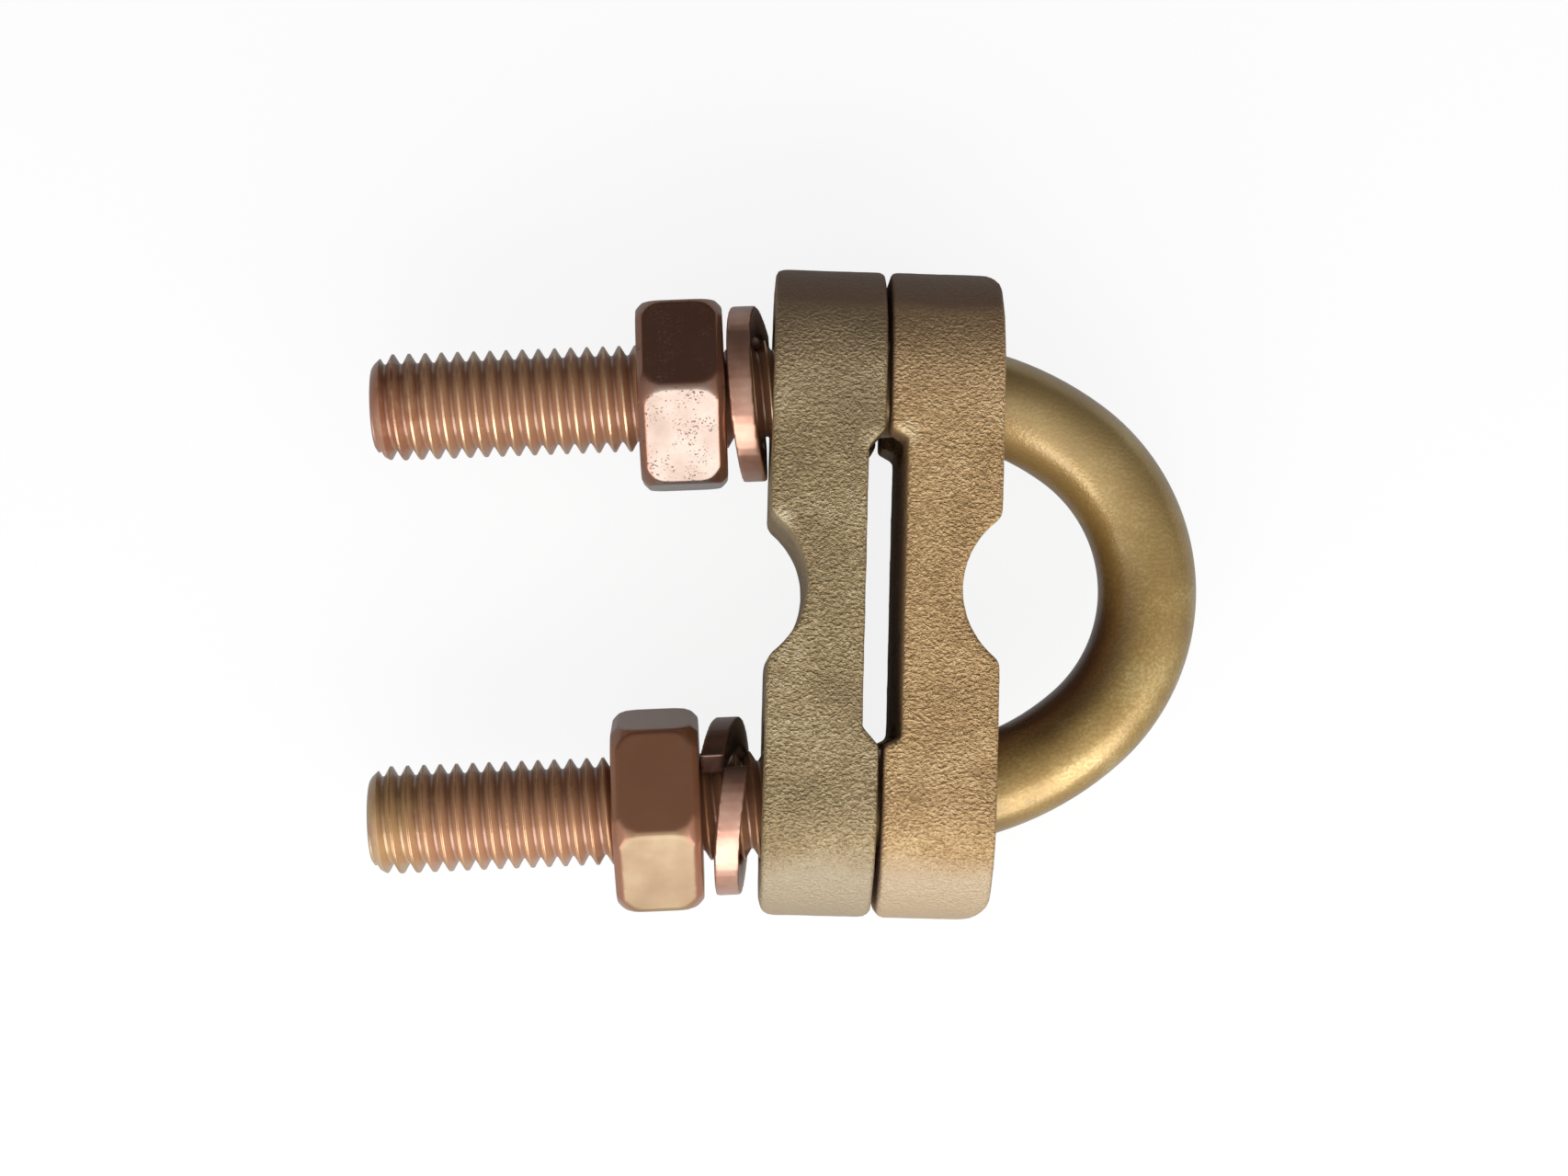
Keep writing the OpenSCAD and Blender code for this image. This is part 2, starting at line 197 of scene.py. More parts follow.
bar_start_x = left_tip_x + thread_length - thread_pitch
bar_end_x = right_tip_x + thread_length - thread_pitch
u_bolt = start_piece(bpy.ops.mesh.primitive_circle_add, "clamp_u_bolt", vertices=64, radius=rod_r,
                     fill_type="NGON", location=(bar_start_x, leg_y, leg_z), rotation=(0, math.pi / 2, 0))
bpy.ops.mesh.select_all(action="SELECT")
bpy.ops.mesh.extrude_region_move(TRANSFORM_OT_translate={"value": (bow_x - bar_start_x, 0, 0)})
for angle, centre_x, centre_y, steps in (
        (side_angle, bow_x, leg_y - side_r, side_steps),
        (math.pi - 2 * side_angle, bow_centre_x, 0, middle_steps),
        (side_angle, bow_x, side_r - leg_y, side_steps)):
    bpy.ops.mesh.spin(steps=steps, angle=angle, center=(centre_x, centre_y, leg_z), axis=(0, 0, 1))
bpy.ops.mesh.extrude_region_move(TRANSFORM_OT_translate={"value": (bar_end_x - bow_x, 0, 0)})
bpy.ops.mesh.select_all(action="SELECT")
bpy.ops.mesh.remove_doubles(threshold=merge_gap)
bpy.ops.mesh.normals_make_consistent(inside=False)
close_piece(u_bolt)
combine(u_bolt, threaded_leg("left_leg", leg_y, left_tip_x, 0.0), "UNION")
combine(u_bolt, threaded_leg("right_leg", -leg_y, right_tip_x, right_crest_dip), "UNION")


def linear(hex_colour):
    """An sRGB hex colour as linear RGBA."""
    parts = [int(hex_colour[i:i + 2], 16) / 255 for i in (1, 3, 5)]
    return [p / 12.92 if p <= 0.04045 else ((p + 0.055) / 1.055) ** 2.4 for p in parts] + [1.0]


def add_node(tree, kind, inputs=None, stops=None, **settings):
    """Adds one node: settings are its options, inputs are values or sockets, stops are a ramp's colours."""
    node = tree.nodes.new(kind)
    for key, value in settings.items():
        setattr(node, key, value)
    for key, value in (inputs or {}).items():
        if isinstance(value, bpy.types.NodeSocket):
            tree.links.new(value, node.inputs[key])
        else:
            node.inputs[key].default_value = value
    if stops:
        elements = node.color_ramp.elements
        while len(elements) < len(stops):
            elements.new(1.0)
        for element, (place, colour) in zip(elements, stops):
            element.position = place
            element.color = linear(colour) if isinstance(colour, str) else [colour] * 3 + [1.0]
    return node


def new_material(name):
    """An empty node material and its tree, with the shader and the object's own coordinates in place."""
    material = bpy.data.materials.new(name)
    material.use_nodes = True
    tree = material.node_tree
    tree.nodes.clear()
    place = add_node(tree, "ShaderNodeTexCoord").outputs["Object"]
    shader = add_node(tree, "ShaderNodeBsdfPrincipled", {"Metallic": 1.0})
    add_node(tree, "ShaderNodeOutputMaterial", {"Surface": shader.outputs["BSDF"]})
    return material, tree, place, shader


def side_value(tree, axes, right, left):
    """A value that is one number on the right leg's side of the clamp and another on the left leg's."""
    return add_node(tree, "ShaderNodeMapRange", {
        "Value": axes.outputs["Y"], "From Min": -1 * MM, "From Max": 1 * MM,
        "To Min": right, "To Max": left}).outputs["Result"]


def dress(piece, material, smooth_angle):
    """Gives a finished piece its material and its smooth shading."""
    piece.data.materials.clear()
    piece.data.materials.append(material)
    bpy.ops.object.select_all(action="DESELECT")
    piece.select_set(True)
    bpy.context.view_layer.objects.active = piece
    bpy.ops.object.shade_smooth_by_angle(angle=math.radians(smooth_angle))


# Drawn and rolled bronze: a satin golden bow with olive clouds and a fine speckle. The bow is painted paler
# towards the left leg, as painted light on its side away from the soft box, and painted dark brown on its
# inside towards the right one, as painted shade. The pinkish tan threads are paler on their crests, partly
# rubbed bright and partly a painted highlight. The left tip is stained red-brown and the right one yellow.
cloud_size = 7 * MM
speckle_size = 0.3 * MM
speckle_depth = 0.05 * MM
stain_size = 1.2 * MM
stain_full_x = left_tip_x + 1 * MM
stain_end_x = left_tip_x + 8 * MM
# Painted shade: the bow's inside is painted dark brown towards the right leg
shade_full_y = -10 * MM
shade_end_y = 6 * MM
# Painted light: the bow is painted paler towards the left leg, its side away from the soft box
painted_light_start_y = -2 * MM
painted_light_full_y = 16 * MM
# Thread colour changes to bow colour inside the plates
thread_colour_x = -8 * MM
bow_colour_x = -4 * MM

rolled_bronze, tree, place, shader = new_material("drawn_and_rolled_bronze")
axes = add_node(tree, "ShaderNodeSeparateXYZ", {"Vector": place})
clouds = add_node(tree, "ShaderNodeTexNoise", {"Vector": place, "Scale": 1 / cloud_size, "Detail": 3.0})
speckle = add_node(tree, "ShaderNodeTexNoise", {"Vector": place, "Scale": 1 / speckle_size, "Detail": 2.0})
tone = add_node(tree, "ShaderNodeMath", {
    0: speckle.outputs["Fac"], 1: 0.5, 2: clouds.outputs["Fac"]}, operation="MULTIPLY_ADD")
bow_colour = add_node(tree, "ShaderNodeValToRGB", {"Fac": tone.outputs[0]}, stops=[
    (0.55, "#8C6E36"), (0.7, "#9E7D3C"), (0.8, "#A88948"), (0.95, "#C0A66C")])
# Painted light: paler towards the left leg
painted_light_share = add_node(tree, "ShaderNodeMapRange", {
    "Value": axes.outputs["Y"], "From Min": painted_light_start_y, "From Max": painted_light_full_y, "To Max": 0.55})
bow_with_painted_light = add_node(tree, "ShaderNodeMix", {
    0: painted_light_share.outputs["Result"], 6: bow_colour.outputs["Color"], 7: linear("#CDAF78")}, data_type="RGBA")
from_centre = add_node(tree, "ShaderNodeVectorMath", {
    0: place, 1: (bow_centre_x, 0, leg_z)}, operation="DISTANCE")
inner_side = add_node(tree, "ShaderNodeMapRange", {
    "Value": from_centre.outputs["Value"], "From Min": bow_r - rod_r, "From Max": bow_r,
    "To Min": 1.5, "To Max": 0.0})
right_half = add_node(tree, "ShaderNodeMapRange", {
    "Value": axes.outputs["Y"], "From Min": shade_full_y, "From Max": shade_end_y,
    "To Min": 1.0, "To Max": 0.05})
# Painted shade on the bow's inside, strongest towards the right leg
painted_shade_share = add_node(tree, "ShaderNodeMath", {
    0: inner_side.outputs["Result"], 1: right_half.outputs["Result"]}, operation="MULTIPLY")
bow_with_painted_shade = add_node(tree, "ShaderNodeMix", {
    0: painted_shade_share.outputs[0], 6: bow_with_painted_light.outputs[2], 7: linear("#502F20")}, data_type="RGBA")

# The threads are coloured by how far each point lies from its leg's axis, from root to crest
away_y = add_node(tree, "ShaderNodeMath", {0: axes.outputs["Y"]}, operation="ABSOLUTE")
across_y = add_node(tree, "ShaderNodeMath", {0: away_y.outputs[0], 1: leg_y}, operation="SUBTRACT")
across_z = add_node(tree, "ShaderNodeMath", {0: axes.outputs["Z"], 1: leg_z}, operation="SUBTRACT")
across = add_node(tree, "ShaderNodeCombineXYZ", {"Y": across_y.outputs[0], "Z": across_z.outputs[0]})
radius = add_node(tree, "ShaderNodeVectorMath", {0: across.outputs[0]}, operation="LENGTH")
flank_height = add_node(tree, "ShaderNodeMapRange", {
    "Value": radius.outputs["Value"], "From Min": thread_r - thread_depth, "From Max": thread_r})
# The pale crest stop is partly rubbed bright metal and partly a painted highlight
thread_colour = add_node(tree, "ShaderNodeValToRGB", {"Fac": flank_height.outputs["Result"]}, stops=[
    (0.0, "#A87C60"), (0.5, "#B68866"), (0.88, "#BE9270"), (1.0, "#D8B08A")])
stain_colour = add_node(tree, "ShaderNodeMix", {
    0: side_value(tree, axes, 0.0, 1.0), 6: linear("#BC9C6C"), 7: linear("#9A6044")}, data_type="RGBA")
near_tip = add_node(tree, "ShaderNodeMapRange", {
    "Value": axes.outputs["X"], "From Min": stain_full_x, "From Max": stain_end_x,
    "To Min": 0.55, "To Max": 0.0})
stain_patches = add_node(tree, "ShaderNodeTexNoise", {
    "Vector": place, "Scale": 1 / stain_size, "Detail": 4.0})
stain_share = add_node(tree, "ShaderNodeMath", {
    0: near_tip.outputs["Result"], 1: stain_patches.outputs["Fac"]}, operation="ADD")
stain = add_node(tree, "ShaderNodeMapRange", {
    "Value": stain_share.outputs[0], "From Min": 0.75, "From Max": 1.05, "To Max": 0.75})
stained = add_node(tree, "ShaderNodeMix", {
    0: stain.outputs["Result"], 6: thread_colour.outputs["Color"], 7: stain_colour.outputs[2]},
    data_type="RGBA")

is_bow = add_node(tree, "ShaderNodeMapRange", {
    "Value": axes.outputs["X"], "From Min": thread_colour_x, "From Max": bow_colour_x})
colour = add_node(tree, "ShaderNodeMix", {
    0: is_bow.outputs["Result"], 6: stained.outputs[2], 7: bow_with_painted_shade.outputs[2]}, data_type="RGBA")
rubbed_crest = add_node(tree, "ShaderNodeMapRange", {
    "Value": flank_height.outputs["Result"], "From Min": 0.8, "From Max": 1.0, "To Min": 0.3, "To Max": 0.8})
bare_metal = add_node(tree, "ShaderNodeMix", {
    0: is_bow.outputs["Result"], 2: rubbed_crest.outputs["Result"], 3: 0.55})
dullness = add_node(tree, "ShaderNodeMapRange", {
    "Value": tone.outputs[0], "From Min": 0.5, "From Max": 1.0, "To Min": 0.4, "To Max": 0.26})
satin = add_node(tree, "ShaderNodeBump", {
    "Height": speckle.outputs["Fac"], "Strength": 0.6, "Distance": speckle_depth})
tree.links.new(colour.outputs[2], shader.inputs["Base Color"])
tree.links.new(bare_metal.outputs[0], shader.inputs["Metallic"])
tree.links.new(dullness.outputs["Result"], shader.inputs["Roughness"])
tree.links.new(satin.outputs["Normal"], shader.inputs["Normal"])
shader.inputs["Coat Weight"].default_value = 1.0
shader.inputs["Coat Roughness"].default_value = 0.25
dress(u_bolt, rolled_bronze, 35)
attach(u_bolt, "u_bolt")
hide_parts("u_bolt")


# The two clamping plates: sand-cast bronze bars, shot-blasted after casting, with a notch for the
# earth rod on the outer side and a slot for the conductor on the inner side. They hang loosely on the legs.

plate_lean = math.radians(3.9)
casting_voxel = 0.28 * MM
casting_waves = []
for wave_size, wave_height in ((2.6 * MM, 0.05 * MM), (0.9 * MM, 0.03 * MM)):
    wave = bpy.data.textures.new("casting_wave", "CLOUDS")
    wave.noise_scale = wave_size
    wave.noise_depth = 1
    casting_waves.append((wave, wave_height))

# The blasted grain is drawn coarser than the real one, so that it shows in the render
grain_size = 0.28 * MM
grain_depth = 0.44 * MM
tarnish_size = 6 * MM
spot_core = 0.3 * MM
spot_reach = 1.5 * MM
# Both ends are ground smoother; the right end is also painted pale grey, as a painted sheen
ground_and_sheen_start_y = 25 * MM
ground_and_sheen_full_y = 27.5 * MM
ground_and_sheen_waver = 3 * MM
# Painted shade: the left end is painted brown, on the side away from the soft box
shaded_end_start_y = 14 * MM
shaded_end_full_y = 26 * MM
slot_wall_x = 1.9 * MM
slot_clear_x = 2.2 * MM


def solid_copy(node, name):
    """A copy of a solid, with its loose triangles merged, as the start of a worn piece."""
    piece = bpy.data.objects.new(name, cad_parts[node].data.copy())
    bpy.context.scene.collection.objects.link(piece)
    bpy.ops.object.select_all(action="DESELECT")
    piece.select_set(True)
    bpy.context.view_layer.objects.active = piece
    bpy.ops.object.mode_set(mode="EDIT")
    bpy.ops.mesh.select_all(action="SELECT")
    bpy.ops.mesh.remove_doubles(threshold=merge_gap)
    bpy.ops.object.mode_set(mode="OBJECT")
    return piece


def cast_bronze(name, dull, body, rubbed, ground_sheen, worn_spots):
    """Shot-blasted cast bronze: a dull skin of fine pebbles, rubbed pale on their tops and at a few spots.

    Both ends are ground smoother. The right end is painted pale grey, partly ground metal and partly a
    painted sheen.
    The left end is painted brown, as painted shade, and the slot's walls are rougher and painted darker, as
    painted shade.
    """
    material, tree, place, shader = new_material(name)
    upright = add_node(tree, "ShaderNodeMapping", {"Vector": place, "Rotation": (0, 0, plate_lean)})
    across = add_node(tree, "ShaderNodeSeparateXYZ", {"Vector": upright.outputs[0]})
    flowed = add_node(tree, "ShaderNodeMapping", {"Vector": upright.outputs[0], "Scale": (0.88, 1, 1)})
    grain = add_node(tree, "ShaderNodeTexNoise", {
        "Vector": flowed.outputs[0], "Scale": 1 / grain_size, "Detail": 2.0, "Roughness": 0.6})
    tarnish = add_node(tree, "ShaderNodeTexNoise", {
        "Vector": place, "Scale": 1 / tarnish_size, "Detail": 4.0})
    tone = add_node(tree, "ShaderNodeMath", {
        0: grain.outputs["Fac"], 1: 1.5, 2: tarnish.outputs["Fac"]}, operation="MULTIPLY_ADD")
    for spot_x, spot_y in worn_spots:
        away = add_node(tree, "ShaderNodeVectorMath", {
            0: upright.outputs[0], 1: (spot_x, spot_y, cad_high.z)}, operation="DISTANCE")
        spot = add_node(tree, "ShaderNodeMapRange", {
            "Value": away.outputs["Value"], "From Min": spot_core, "From Max": spot_reach,
            "To Min": 0.6, "To Max": 0.0})
        tone = add_node(tree, "ShaderNodeMath", {
            0: tone.outputs[0], 1: spot.outputs["Result"]}, operation="ADD")
    level = add_node(tree, "ShaderNodeMapRange", {
        "Value": tone.outputs[0], "From Min": 0.75, "From Max": 2.1})
    skin = add_node(tree, "ShaderNodeValToRGB", {"Fac": level.outputs["Result"]}, stops=[
        (0.2, dull), (0.4, body), (0.85, rubbed)])

    from_middle = add_node(tree, "ShaderNodeMath", {0: across.outputs["Y"]}, operation="ABSOLUTE")
    rough_edge = add_node(tree, "ShaderNodeMath", {
        0: tarnish.outputs["Fac"], 1: ground_and_sheen_waver, 2: from_middle.outputs[0]}, operation="MULTIPLY_ADD")
    # The ends: smoother relief, and at the right end a pale grey painted sheen
    ground_and_sheen_end = add_node(tree, "ShaderNodeMapRange", {
        "Value": rough_edge.outputs[0], "From Min": ground_and_sheen_start_y, "From Max": ground_and_sheen_full_y})
    # Painted shade: brown over the left end; the right end takes the pale painted sheen
    left_end = add_node(tree, "ShaderNodeMapRange", {
        "Value": across.outputs["Y"], "From Min": shaded_end_start_y, "From Max": shaded_end_full_y})
    painted_end_colour = add_node(tree, "ShaderNodeMix", {
        0: left_end.outputs["Result"], 6: linear(ground_sheen), 7: linear("#82654E")}, data_type="RGBA")
    painted_end_shade = add_node(tree, "ShaderNodeMath", {
        0: left_end.outputs["Result"], 1: 0.55}, operation="MULTIPLY")
    end_share = add_node(tree, "ShaderNodeMath", {
        0: painted_end_shade.outputs[0], 1: ground_and_sheen_end.outputs["Result"]}, operation="MAXIMUM")
    ends = add_node(tree, "ShaderNodeMix", {
        0: end_share.outputs[0], 6: skin.outputs["Color"], 7: painted_end_colour.outputs[2]}, data_type="RGBA")

    facing = add_node(tree, "ShaderNodeTexCoord").outputs["Normal"]
    facing_axes = add_node(tree, "ShaderNodeSeparateXYZ", {"Vector": facing})
    sideways = add_node(tree, "ShaderNodeMath", {0: facing_axes.outputs["X"]}, operation="ABSOLUTE")
    is_wall = add_node(tree, "ShaderNodeMapRange", {
        "Value": sideways.outputs[0], "From Min": 0.5, "From Max": 0.85, "To Max": 0.5})
    from_seam = add_node(tree, "ShaderNodeMath", {0: across.outputs["X"]}, operation="ABSOLUTE")
    in_slot = add_node(tree, "ShaderNodeMapRange", {
        "Value": from_seam.outputs[0], "From Min": slot_wall_x, "From Max": slot_clear_x,
        "To Min": 1.0, "To Max": 0.0})
    # Painted shade: the slot's walls are painted darker brown, and they are made rougher
    rough_shaded_wall = add_node(tree, "ShaderNodeMath", {
        0: in_slot.outputs["Result"], 1: is_wall.outputs["Result"]}, operation="MULTIPLY")
    colour = add_node(tree, "ShaderNodeMix", {
        0: rough_shaded_wall.outputs[0], 6: ends.outputs[2], 7: linear("#80604A")}, data_type="RGBA")

    relief = add_node(tree, "ShaderNodeMapRange", {
        "Value": ground_and_sheen_end.outputs["Result"], "To Min": 1.0, "To Max": 0.55})
    bump = add_node(tree, "ShaderNodeBump", {
        "Height": grain.outputs["Fac"], "Strength": relief.outputs["Result"], "Distance": grain_depth})
    dullness = add_node(tree, "ShaderNodeMapRange", {
        "Value": rough_shaded_wall.outputs[0], "To Min": 0.45, "To Max": 0.95})
    tree.links.new(colour.outputs[2], shader.inputs["Base Color"])
    tree.links.new(bump.outputs["Normal"], shader.inputs["Normal"])
    tree.links.new(dullness.outputs["Result"], shader.inputs["Roughness"])
    shader.inputs["Metallic"].default_value = 0.3
    shader.inputs["Specular IOR Level"].default_value = 0.7
    return material


for node, slot, dull, body, rubbed, ground_sheen, worn_spots in (
        ("bow_side_plate", "warm_cast_bronze", "#9E7D50", "#B89462", "#DFC498", "#A48F73",
         [(1.6 * MM, 13.9 * MM)]),
        ("nut_side_plate", "cast_bronze", "#86724E", "#9B845B", "#CAB997", "#96866C",
         [(-1.4 * MM, 13.1 * MM), (-9.3 * MM, 5.7 * MM)])):
    plate = solid_copy(node, "clamp_" + node)
    work(plate, "REMESH", mode="VOXEL", voxel_size=casting_voxel)
    work(plate, "SMOOTH", factor=0.5, iterations=2)
    for wave, wave_height in casting_waves:
        work(plate, "DISPLACE", texture=wave, texture_coords="LOCAL", strength=wave_height, mid_level=1.0)
    dress(plate, cast_bronze("shot_blasted_" + slot, dull, body, rubbed, ground_sheen, worn_spots), 60)
    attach(plate, node)
    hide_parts(node)


# The spring washers: split rings coiled from square copper-bronze wire, one on each leg.
# They are loose, so each leans its own way between its nut and the plate.

washer_voxel = 0.14 * MM
washer_film_size = 2.5 * MM
# Painted shade on the right washer's half towards the middle of the clamp
washer_shade_start_y = -leg_y + 1 * MM
washer_shade_full_y = -leg_y + 3.5 * MM

# Coiled copper-bronze: a soft pink polish with faint clouds. The half of the right washer that lies towards
# the middle of the clamp is painted dark brown, as painted shade.
washer_bronze, tree, place, shader = new_material("coiled_copper_bronze")
axes = add_node(tree, "ShaderNodeSeparateXYZ", {"Vector": place})
film = add_node(tree, "ShaderNodeTexNoise", {"Vector": place, "Scale": 1 / washer_film_size, "Detail": 4.0})
polish = add_node(tree, "ShaderNodeValToRGB", {"Fac": film.outputs["Fac"]}, stops=[
    (0.3, "#B07E68"), (0.5, "#C2927C"), (0.7, "#CCA28E")])
inner_half = add_node(tree, "ShaderNodeMapRange", {
    "Value": axes.outputs["Y"], "From Min": washer_shade_start_y, "From Max": washer_shade_full_y, "To Max": 0.8})
# Painted shade: dark brown on that half of the right washer
painted_washer_shade = add_node(tree, "ShaderNodeMath", {
    0: side_value(tree, axes, 1.0, 0.0), 1: inner_half.outputs["Result"]}, operation="MULTIPLY")
colour = add_node(tree, "ShaderNodeMix", {
    0: painted_washer_shade.outputs[0], 6: polish.outputs["Color"], 7: linear("#4A3228")}, data_type="RGBA")
tree.links.new(colour.outputs[2], shader.inputs["Base Color"])
shader.inputs["Metallic"].default_value = 0.75
shader.inputs["Roughness"].default_value = 0.3
shader.inputs["Coat Weight"].default_value = 0.7
shader.inputs["Coat Roughness"].default_value = 0.25

for node in ("left_spring_washer", "right_spring_washer"):
    washer = solid_copy(node, "clamp_" + node)
    work(washer, "REMESH", mode="VOXEL", voxel_size=washer_voxel)
    work(washer, "SMOOTH", factor=0.5, iterations=8)
    dress(washer, washer_bronze, 60)
    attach(washer, node)
    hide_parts(node)


# The nuts: hexagons pressed from copper-bronze and tapped, with both faces chamfered and the
# corners rounded over by tumbling. Each runs on its leg's thread.

nut_flats = 17 * MM
nut_corners = nut_flats / math.cos(math.radians(30))
rim_cut = 0.68 * MM
# The round of the corners, as depths from a nut's end face and the radius there
corner_round = [
    (0.0, 8.45 * MM), (0.3 * MM, 8.8 * MM), (0.6 * MM, 9.07 * MM), (0.9 * MM, 9.29 * MM),
    (1.2 * MM, 9.45 * MM), (1.6 * MM, 9.58 * MM), (2.1 * MM, 9.66 * MM), (2.6 * MM, 9.68 * MM)]
nut_voxel = 0.16 * MM
thread_room = 0.06 * MM
left_nut_turn = math.radians(2.3)
right_nut_turn = math.radians(12.4)


def select_faces(piece, test):
    """Selects the faces of the piece in edit mode whose direction passes a test."""
    bpy.ops.mesh.select_mode(type="FACE")
    bpy.ops.mesh.select_all(action="DESELECT")
    mesh = bmesh.from_edit_mesh(piece.data)
    turn = piece.matrix_world.to_3x3()
    for face in mesh.faces:
        face.select_set(test(turn @ face.normal))
    bmesh.update_edit_mesh(piece.data)


# Tumbled copper-bronze: a soft polish, pinkish on the left nut and golden on the right one. The rims are
# painted red-brown, and so are the sides that face the left leg, away from the soft box, as painted shade.
# The left nut is peppered with small dark pits that come in patches.
nut_film_size = 3 * MM
pit_size = 0.2 * MM
pit_patch_size = 2.2 * MM
pit_depth = 0.05 * MM

nut_bronze, tree, place, shader = new_material("tumbled_copper_bronze")
axes = add_node(tree, "ShaderNodeSeparateXYZ", {"Vector": place})
is_left = side_value(tree, axes, 0.0, 1.0)
film = add_node(tree, "ShaderNodeTexNoise", {"Vector": place, "Scale": 1 / nut_film_size, "Detail": 4.0})
pink = add_node(tree, "ShaderNodeValToRGB", {"Fac": film.outputs["Fac"]}, stops=[
    (0.3, "#8B786C"), (0.5, "#978479"), (0.7, "#9F9084")])
golden = add_node(tree, "ShaderNodeValToRGB", {"Fac": film.outputs["Fac"]}, stops=[
    (0.3, "#866A48"), (0.5, "#907452"), (0.7, "#98805E")])
polish = add_node(tree, "ShaderNodeMix", {
    0: is_left, 6: golden.outputs["Color"], 7: pink.outputs["Color"]}, data_type="RGBA")
facing = add_node(tree, "ShaderNodeTexCoord").outputs["Normal"]
facing_axes = add_node(tree, "ShaderNodeSeparateXYZ", {"Vector": facing})
# Painted shade: red-brown on the sides that face the left leg, away from the soft box
left_side_shade = add_node(tree, "ShaderNodeMapRange", {
    "Value": facing_axes.outputs["Y"], "From Min": -0.3, "From Max": 0.2, "To Max": 0.8})
endwise = add_node(tree, "ShaderNodeMath", {0: facing_axes.outputs["X"]}, operation="ABSOLUTE")
# The rims are painted red-brown
red_rims = add_node(tree, "ShaderNodeMapRange", {
    "Value": endwise.outputs[0], "From Min": 0.1, "From Max": 0.4, "To Max": 0.8})
# Red-brown on the rims, and painted shade on the sides towards the left leg
red_rims_and_painted_shade = add_node(tree, "ShaderNodeMath", {
    0: left_side_shade.outputs["Result"], 1: red_rims.outputs["Result"]}, operation="MAXIMUM")
red_and_shaded_polish = add_node(tree, "ShaderNodeMix", {
    0: red_rims_and_painted_shade.outputs[0], 6: polish.outputs[2], 7: linear("#A0684E")}, data_type="RGBA")
specks = add_node(tree, "ShaderNodeTexNoise", {"Vector": place, "Scale": 1 / pit_size, "Detail": 1.0})
patches = add_node(tree, "ShaderNodeTexNoise", {
    "Vector": place, "Scale": 1 / pit_patch_size, "Detail": 2.0})
pit_level = add_node(tree, "ShaderNodeMath", {
    0: patches.outputs["Fac"], 1: 0.6, 2: specks.outputs["Fac"]}, operation="MULTIPLY_ADD")
pits = add_node(tree, "ShaderNodeMapRange", {
    "Value": pit_level.outputs[0], "From Min": 0.98, "From Max": 1.05, "To Max": is_left})
colour = add_node(tree, "ShaderNodeMix", {
    0: pits.outputs["Result"], 6: red_and_shaded_polish.outputs[2], 7: linear("#6A4636")}, data_type="RGBA")
dents = add_node(tree, "ShaderNodeBump", {
    "Height": pits.outputs["Result"], "Strength": 0.6, "Distance": pit_depth}, invert=True)
tree.links.new(colour.outputs[2], shader.inputs["Base Color"])
tree.links.new(dents.outputs["Normal"], shader.inputs["Normal"])
tree.links.new(side_value(tree, axes, 0.45, 0.8), shader.inputs["Metallic"])
shader.inputs["Roughness"].default_value = 0.24
shader.inputs["Coat Weight"].default_value = 0.5
shader.inputs["Coat Roughness"].default_value = 0.2

for node, side_y, tip_x, nut_turn in (
        ("left_nut", leg_y, left_tip_x, left_nut_turn),
        ("right_nut", -leg_y, right_tip_x, right_nut_turn)):
    nut_low, nut_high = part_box(node)
    turned = Matrix.Rotation(nut_turn + math.radians(30), 3, "X")
    lying = turned @ Matrix.Rotation(math.pi / 2, 3, "Y")
    nut = start_piece(bpy.ops.mesh.primitive_circle_add, "clamp_" + node, vertices=6,
                      radius=nut_corners / 2, fill_type="NGON",
                      location=(nut_low.x, side_y, leg_z), rotation=lying.to_euler())
    bpy.ops.mesh.select_all(action="SELECT")
    bpy.ops.mesh.extrude_region_move(TRANSFORM_OT_translate={"value": (nut_high.x - nut_low.x, 0, 0)})
    bpy.ops.mesh.select_all(action="SELECT")
    bpy.ops.mesh.normals_make_consistent(inside=False)
    select_faces(nut, lambda normal: abs(normal.x) > 0.9)
    bpy.ops.mesh.bevel(offset=rim_cut, segments=1, affect="EDGES")
    close_piece(nut)
    near_end = [(nut_low.x + depth, r) for depth, r in corner_round]
    far_end = [(nut_high.x - depth, r) for depth, r in reversed(corner_round)]
    combine(nut, turned_bar("corner_blank", side_y, near_end + far_end), "INTERSECT")
    work(nut, "REMESH", mode="VOXEL", voxel_size=nut_voxel)
    work(nut, "SMOOTH", factor=0.5, iterations=7)
    tap = screw_solid("tap", side_y, tip_x, nut_low.x - thread_pitch, nut_high.x + thread_pitch, thread_room)
    combine(nut, tap, "DIFFERENCE")
    dress(nut, nut_bronze, 40)
    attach(nut, node)
    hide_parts(node)


# The table: a wide sheet painted matt white, which isn't part of the clamp.
# The clamp lies on it on the flat sides of its plates.

table_size = 10.0
table_drop = 0.02 * MM
seen_glow = 0.87
mirrored_glow = 0.18
table = start_piece(bpy.ops.mesh.primitive_plane_add, "white_table", size=table_size,
                    location=(0, 0, -table_drop))
close_piece(table)

# Matt white paint: in the light it is a pale grey. Where the camera looks straight at it, most of its white
# is a glow, so that the clamp's shadow stays light. The metal sees a fainter glow.
white_paint, tree, _, shader = new_material("white_table_paint")
ray = add_node(tree, "ShaderNodeLightPath").outputs
paint = add_node(tree, "ShaderNodeMix", {
    0: ray["Is Camera Ray"], 6: linear("#8E8F8F"), 7: linear("#656666")}, data_type="RGBA")
mirrored = add_node(tree, "ShaderNodeMath", {
    0: ray["Is Glossy Ray"], 1: ray["Is Transmission Ray"]}, operation="MAXIMUM")
faint_glow = add_node(tree, "ShaderNodeMath", {
    0: mirrored.outputs[0], 1: mirrored_glow}, operation="MULTIPLY")
glow = add_node(tree, "ShaderNodeMath", {
    0: ray["Is Camera Ray"], 1: seen_glow, 2: faint_glow.outputs[0]}, operation="MULTIPLY_ADD")
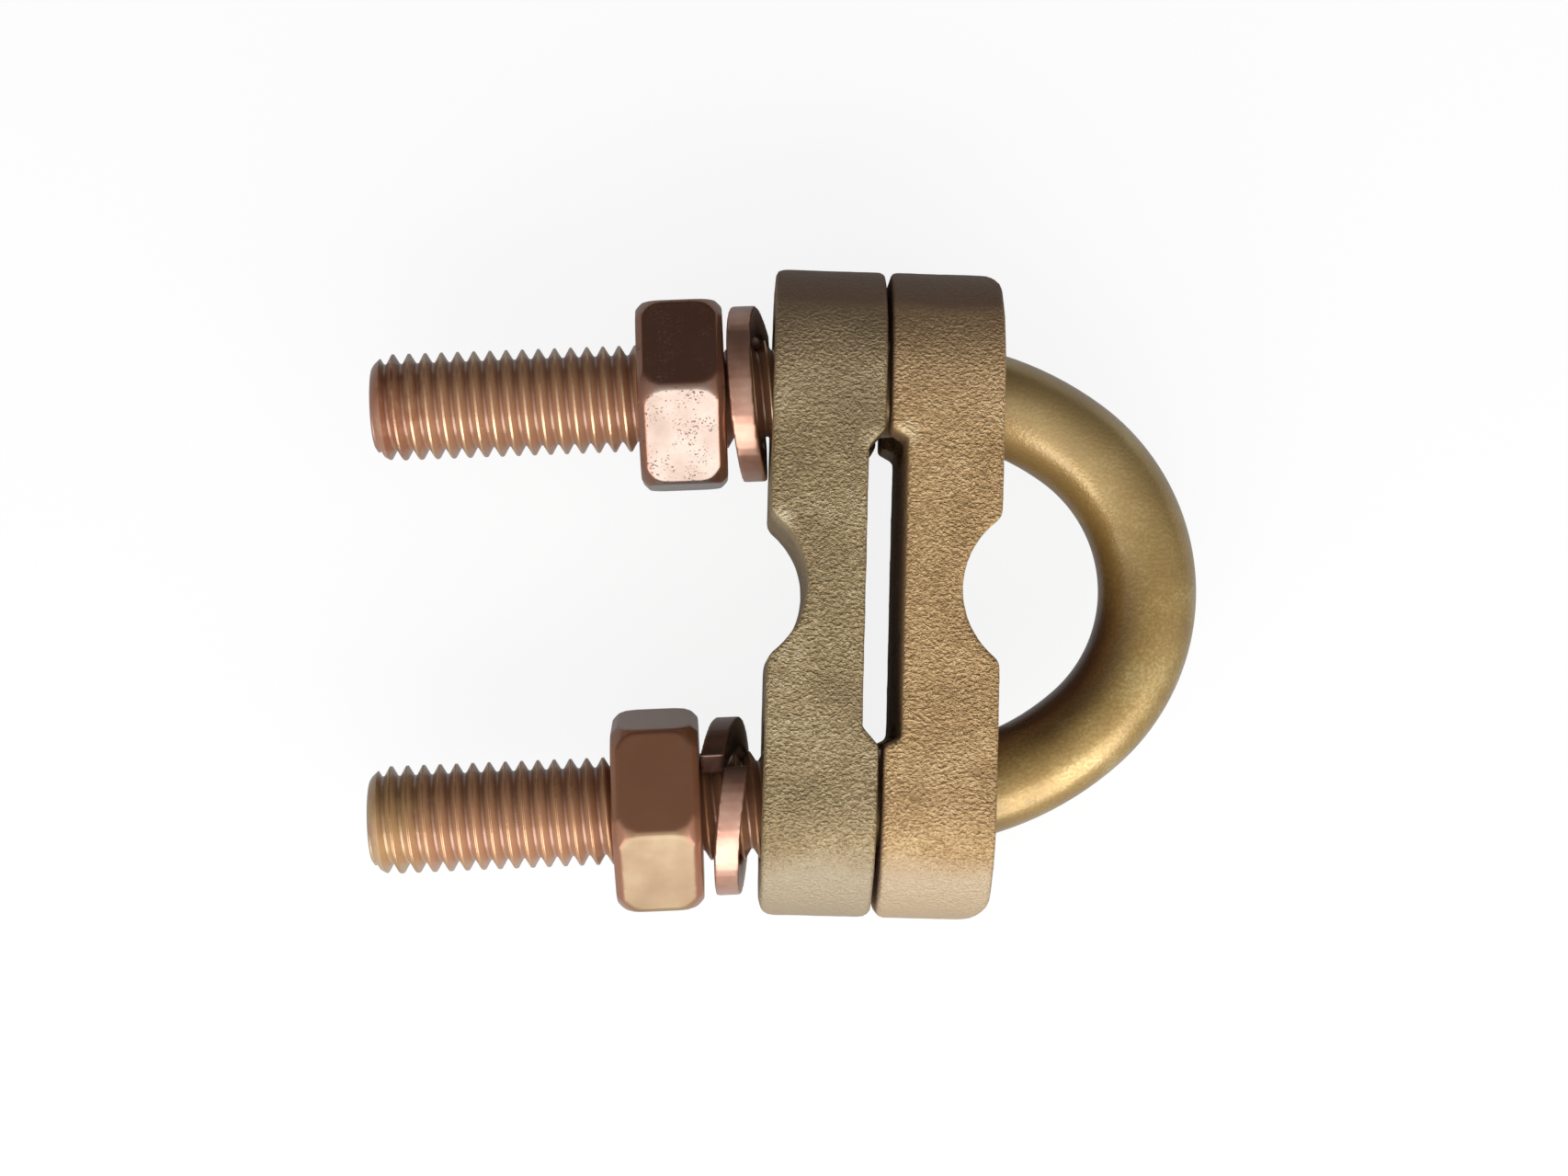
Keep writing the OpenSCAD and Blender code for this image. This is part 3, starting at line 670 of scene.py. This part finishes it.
tree.links.new(paint.outputs[2], shader.inputs["Base Color"])
tree.links.new(glow.outputs[0], shader.inputs["Emission Strength"])
shader.inputs["Emission Color"].default_value = linear("#FFFFFF")
shader.inputs["Metallic"].default_value = 0.0
shader.inputs["Roughness"].default_value = 0.9
shader.inputs["Specular IOR Level"].default_value = 0.0
table.data.materials.append(white_paint)


# The light: one long soft box low on the side of the right leg, in a room that is dim on the other side
# and a little brighter at its two ends. The camera sees the room as white.

box_from_vertical = math.radians(64)
box_direction = Vector((0, -math.sin(box_from_vertical), math.cos(box_from_vertical)))
box_distance = 0.25
box_light = bpy.data.lights.new("soft_box", "AREA")
box_light.shape = "RECTANGLE"
box_light.size = 0.6
box_light.size_y = 0.23
box_light.energy = 1.16
soft_box = bpy.data.objects.new("soft_box", box_light)
soft_box.location = Vector((0, 0, leg_z)) + box_distance * box_direction
soft_box.rotation_euler = (box_from_vertical, 0, 0)
soft_box.visible_camera = False
bpy.context.scene.collection.objects.link(soft_box)

room_strength = 1.1
room_length = 0.5
end_glow = 0.14
world = bpy.data.worlds.new("room_light")
bpy.context.scene.world = world
world.use_nodes = True
tree = world.node_tree
tree.nodes.clear()
direction = add_node(tree, "ShaderNodeTexCoord").outputs["Generated"]
drawn_in = add_node(tree, "ShaderNodeVectorMath", {
    0: direction, 1: (room_length, 1, 1)}, operation="MULTIPLY")
across = add_node(tree, "ShaderNodeVectorMath", {0: drawn_in.outputs[0]}, operation="NORMALIZE")
towards = add_node(tree, "ShaderNodeVectorMath", {
    0: across.outputs[0], 1: box_direction}, operation="DOT_PRODUCT")
share = add_node(tree, "ShaderNodeMath", {
    0: towards.outputs["Value"], 1: 0.5, 2: 0.5}, operation="MULTIPLY_ADD")
lengthwise = add_node(tree, "ShaderNodeSeparateXYZ", {"Vector": direction}).outputs["X"]
both_ways = add_node(tree, "ShaderNodeMath", {0: lengthwise, 1: lengthwise}, operation="MULTIPLY")
with_ends = add_node(tree, "ShaderNodeMath", {
    0: both_ways.outputs[0], 1: end_glow, 2: share.outputs[0]}, operation="MULTIPLY_ADD")
room_glow = add_node(tree, "ShaderNodeValToRGB", {"Fac": with_ends.outputs[0]}, stops=[
    (0.0, 0.02), (0.22, 0.05), (0.45, 0.13), (0.6, 0.31), (0.75, 0.58), (0.87, 0.8), (1.0, 0.9)])
seen = add_node(tree, "ShaderNodeLightPath").outputs["Is Camera Ray"]
room_colour = add_node(tree, "ShaderNodeMix", {
    0: seen, 6: room_glow.outputs["Color"], 7: linear("#F3F4F4")}, data_type="RGBA")
background = add_node(tree, "ShaderNodeBackground", {
    "Color": room_colour.outputs[2], "Strength": room_strength})
add_node(tree, "ShaderNodeOutputWorld", {"Surface": background.outputs["Background"]})


# The camera: it looks almost straight down on the clamp, from about a quarter of a metre.
# Its place and turn are those that lay the solids over the photograph.

camera_data = bpy.data.cameras.new("camera")
camera_data.sensor_width = 36
camera_data.lens = 57
camera_data.clip_start = 0.01
camera = bpy.data.objects.new("camera", camera_data)
bpy.context.scene.collection.objects.link(camera)
camera.location = (-15.1 * MM, -13.7 * MM, 241.5 * MM)
camera.rotation_mode = "ZYX"
camera.rotation_euler = (0.063, -0.0276, -0.0398)
bpy.context.scene.camera = camera
bpy.context.scene.view_settings.view_transform = "Standard"

bpy.context.view_layer.update()
